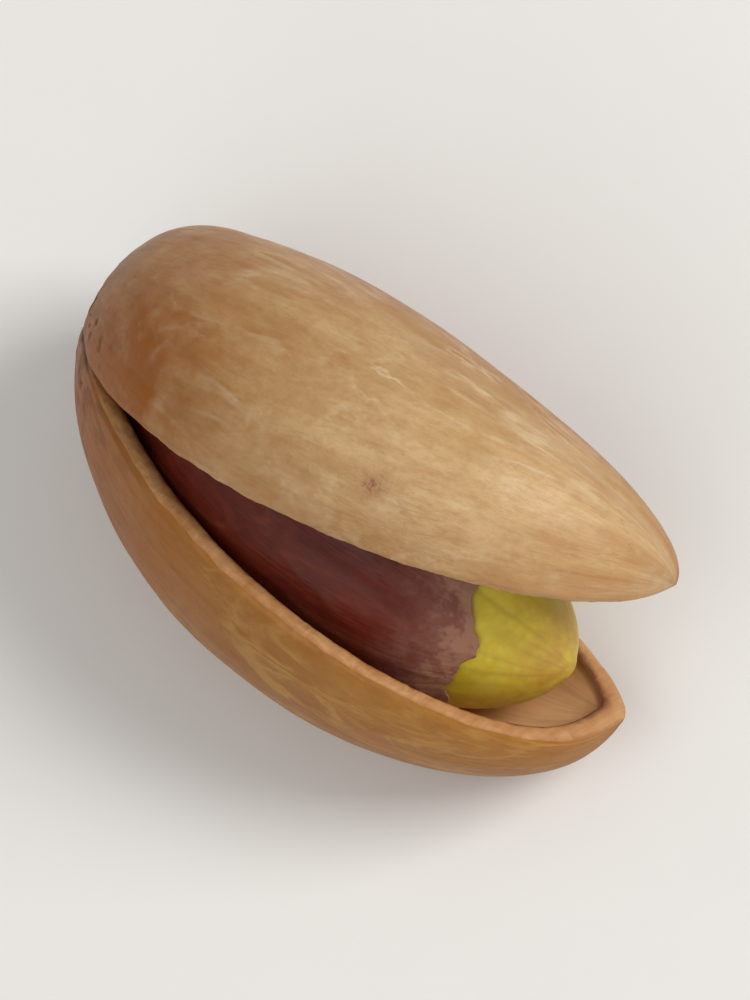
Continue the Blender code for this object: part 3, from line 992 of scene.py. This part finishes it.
def plain_floor():
    """One square of pale paper, level with the bottom of the nut."""
    corners = [(-FLOOR_HALF, -FLOOR_HALF, 0.0), (FLOOR_HALF, -FLOOR_HALF, 0.0)]
    corners += [(FLOOR_HALF, FLOOR_HALF, 0.0), (-FLOOR_HALF, FLOOR_HALF, 0.0)]
    mesh = bpy.data.meshes.new("floor")
    mesh.from_pydata(corners, [], [(0, 1, 2, 3)])
    material, tree, shader = new_material("pale_paper", Roughness=0.85, Specular_IOR_Level=0.2)
    clouds = mottled(tree, add(tree, "TexCoord").outputs["Object"], 60.0, 0.2)
    tree.links.new(blend(tree, clouds, PAPER, PAPER_LIGHT), shader.inputs["Base Color"])
    mesh.materials.append(material)
    floor = bpy.data.objects.new("floor", mesh)
    bpy.context.scene.collection.objects.link(floor)
    return floor


plain_floor()

# %% [markdown]
# ## Three directions, and the lights
#
# The nut is seen from well above, from the side of its mouth, with the camera leaning to one side.
# Its three directions are worked out first, because the lights are easiest to place by them. A
# soft window stands at the upper right, a wide weak light on the left lets the wood's colour show
# in the shade, and a very weak one below opens the underside. Lights this size stand only a
# few hand widths away, so they need very little power.

# %% The camera's directions
AZIMUTH, ELEVATION, LEAN = math.radians(61.7), math.radians(68.4), math.radians(25.6)
toward_camera = Vector((math.sin(AZIMUTH) * math.cos(ELEVATION),
                        -math.cos(AZIMUTH) * math.cos(ELEVATION), math.sin(ELEVATION)))
level = Vector((math.cos(AZIMUTH), math.sin(AZIMUTH), 0.0))
camera_right = math.cos(LEAN) * level - math.sin(LEAN) * toward_camera.cross(level)
camera_up = toward_camera.cross(camera_right)
print("toward the camera:", [round(c, 3) for c in toward_camera])

# %% Lights
DAYLIGHT, INDOORS = (1.0, 0.975, 0.94), (1.0, 0.98, 0.95)
WORLD_STRENGTH = 0.34


def soft_light(name, right, up, toward, distance, size, power, colour):
    """A square light that far from the nut, its way given in the camera's three directions."""
    light = bpy.data.lights.new(name, "AREA")
    light.shape, light.size, light.energy, light.color = "SQUARE", size, power, colour
    lamp = bpy.data.objects.new(name, light)
    way = right * camera_right + up * camera_up + toward * toward_camera
    lamp.location = (cad_box[0] + cad_box[1]) / 2.0 + way.normalized() * distance
    lamp.rotation_euler = way.to_track_quat("Z", "Y").to_euler()
    bpy.context.scene.collection.objects.link(lamp)


soft_light("window", 0.66, 0.34, 0.72, distance=0.55, size=0.26, power=1.95, colour=DAYLIGHT)
soft_light("room", -0.45, -0.20, 0.85, distance=0.7, size=0.6, power=1.3, colour=INDOORS)
soft_light("lap", -0.1, -0.75, 0.55, distance=0.7, size=0.5, power=0.2, colour=INDOORS)

world = bpy.data.worlds.new("pale_room")
world.use_nodes = True
world.node_tree.nodes["Background"].inputs["Color"].default_value = (*INDOORS, 1.0)
world.node_tree.nodes["Background"].inputs["Strength"].default_value = WORLD_STRENGTH
bpy.context.scene.world = world
bpy.context.scene.view_settings.view_transform = "Standard"

# %% [markdown]
# ## The camera
#
# A long lens from further off keeps the near valve from swelling. The lens is worked out from how
# much the picture should take in, and the camera is set over the middle of what it sees of the
# shell, so that the nut fills the picture evenly.

# %% The camera
CAMERA_DISTANCE = 0.60
VIEW_HEIGHT = 31.0 * MM

across, upward = set_shell @ np.array(camera_right), set_shell @ np.array(camera_up)
seen_middle = 0.5 * (across.min() + across.max()) * camera_right
seen_middle += 0.5 * (upward.min() + upward.max()) * camera_up

camera_data = bpy.data.cameras.new("camera")
camera_data.lens = CAMERA_DISTANCE * camera_data.sensor_width / VIEW_HEIGHT
camera_data.clip_start = 0.01
camera = bpy.data.objects.new("camera", camera_data)
camera.location = seen_middle + toward_camera * CAMERA_DISTANCE
turn = Matrix((camera_right, camera_up, toward_camera)).transposed()
camera.rotation_euler = turn.to_euler()
bpy.context.scene.collection.objects.link(camera)
bpy.context.scene.camera = camera
print("lens:", round(camera_data.lens, 1))
